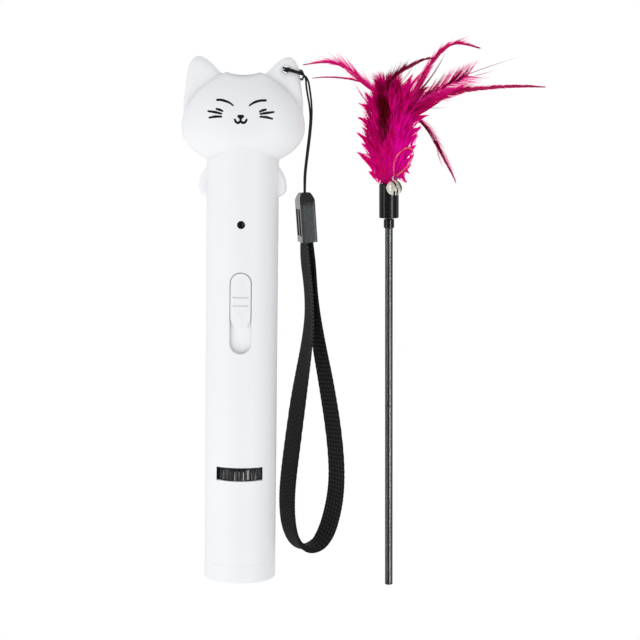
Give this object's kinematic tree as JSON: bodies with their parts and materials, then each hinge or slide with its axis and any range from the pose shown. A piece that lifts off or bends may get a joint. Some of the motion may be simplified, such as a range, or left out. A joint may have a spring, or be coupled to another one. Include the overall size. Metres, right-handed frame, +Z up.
{
  "type": "hand-held cat laser toy with feather wand",
  "caption": "Torch-shaped cat laser toy with a cat's head, slide switch, thumb-turned pattern wheel and wrist strap, and a separate telescopic feather wand with a bell.",
  "frame": {"origin": "middle of the footprint of the torch and the wand lying side by side on a table, at table height", "axes": "+Y from the torch's light outlet to the cat's crown, +X from the torch to the wand, +Z up from the table, which is the way the cat's face looks"},
  "size_m": [0.1422, 0.2184, 0.0301],
  "materials": {
    "white_plastic": "satin",
    "clear_plastic": "polished",
    "black_plastic": "satin",
    "steel": "bright",
    "brass": "satin",
    "board_green": "gloss",
    "ceramic": "matt",
    "wire_red": "satin",
    "wire_black": "satin",
    "led_resin": "clear",
    "cell_sleeve": "gloss",
    "foam": "matt",
    "black_cord": "woven",
    "dark_metal": "polished",
    "magenta_down": "downy",
    "magenta_feather": "barbed",
    "bell_metal": "bright",
    "orange_thread": "twisted"
  },
  "bodies": {
    "torch": {"front_shell": "white_plastic", "rear_shell": "white_plastic", "end_bezel": "white_plastic", "wand_socket": "white_plastic", "projector_lens": "clear_plastic", "collimator_lens": "clear_plastic", "lens_tube": "black_plastic", "wheel_bracket": "black_plastic", "indicator_lens": "black_plastic", "clip_housing": "black_plastic", "clip_insert": "black_plastic", "control_chips": "black_plastic", "wheel_axle": "steel", "detent_spring": "steel", "slide_switch_body": "steel", "charging_socket": "steel", "shell_screws": "steel", "board_screws": "steel", "clip_pin": "steel", "battery_tabs": "steel", "laser_diode": "steel", "laser_module": "brass", "laser_driver_board": "board_green", "main_circuit_board": "board_green", "board_passives": "ceramic", "laser_wire_red": "wire_red", "laser_wire_black": "wire_black", "indicator_led": "led_resin", "battery_cell": "cell_sleeve", "battery_foam": "foam", "lanyard_cord": "black_cord", "wrist_webbing": "black_cord"},
    "switch": {"slide_knob": "white_plastic", "slide_switch_lever": "black_plastic"},
    "wheel": {"pattern_wheel": "black_plastic", "pattern_films": "clear_plastic"},
    "wand_outer": {"wand_outer_tube": "dark_metal", "wand_end_plug": "black_plastic"},
    "wand_middle": {"wand_middle_tube": "dark_metal"},
    "wand_tip": {"wand_tip_rod": "dark_metal", "wand_collar": "black_plastic", "feather_sleeve": "black_plastic", "marabou_bundle": "magenta_down", "bell_tie_loop": "orange_thread", "plume_long_right": "magenta_feather", "plume_barred": "magenta_feather", "plume_up_right": "magenta_feather", "plume_thin_dark": "magenta_feather", "plume_upper_left": "magenta_feather", "plume_lower_left": "magenta_feather", "plume_drooping": "magenta_feather"},
    "bell": {"bell_upper_half": "bell_metal", "bell_lower_half": "bell_metal"},
    "clapper": {"bell_clapper": "bell_metal"}
  },
  "joints": [
    {"name": "switch_slide", "type": "slide", "parent": "torch", "child": "switch", "axis": [0, 1, 0], "range_m": [-0.0101, 0]},
    {"name": "wheel_turn", "type": "hinge", "parent": "torch", "child": "wheel", "pos_m": [-0.0471, -0.05987, 0.0191], "axis": [0, 1, 0], "continuous": true},
    {"name": "wand_lift", "type": "slide", "parent": "torch", "child": "wand_outer", "axis": [0, 0, 1], "range_m": [0, 0.1]},
    {"name": "wand_middle_slide", "type": "slide", "parent": "wand_outer", "child": "wand_middle", "axis": [-0.016, 0.9997, 0.0158], "range_m": [0, 0.12]},
    {"name": "wand_tip_slide", "type": "slide", "parent": "wand_middle", "child": "wand_tip", "axis": [-0.016, 0.9997, 0.0158], "range_m": [0, 0.12]},
    {"name": "bell_swing", "type": "hinge", "parent": "wand_tip", "child": "bell", "pos_m": [0.01224, 0.05572, 0.01105], "axis": [-1, 0, 0], "range_deg": [0, 60]},
    {"name": "clapper_bounce", "type": "slide", "parent": "bell", "child": "clapper", "axis": [0, 0, 1], "range_m": [0, 0.0036]}
  ]
}
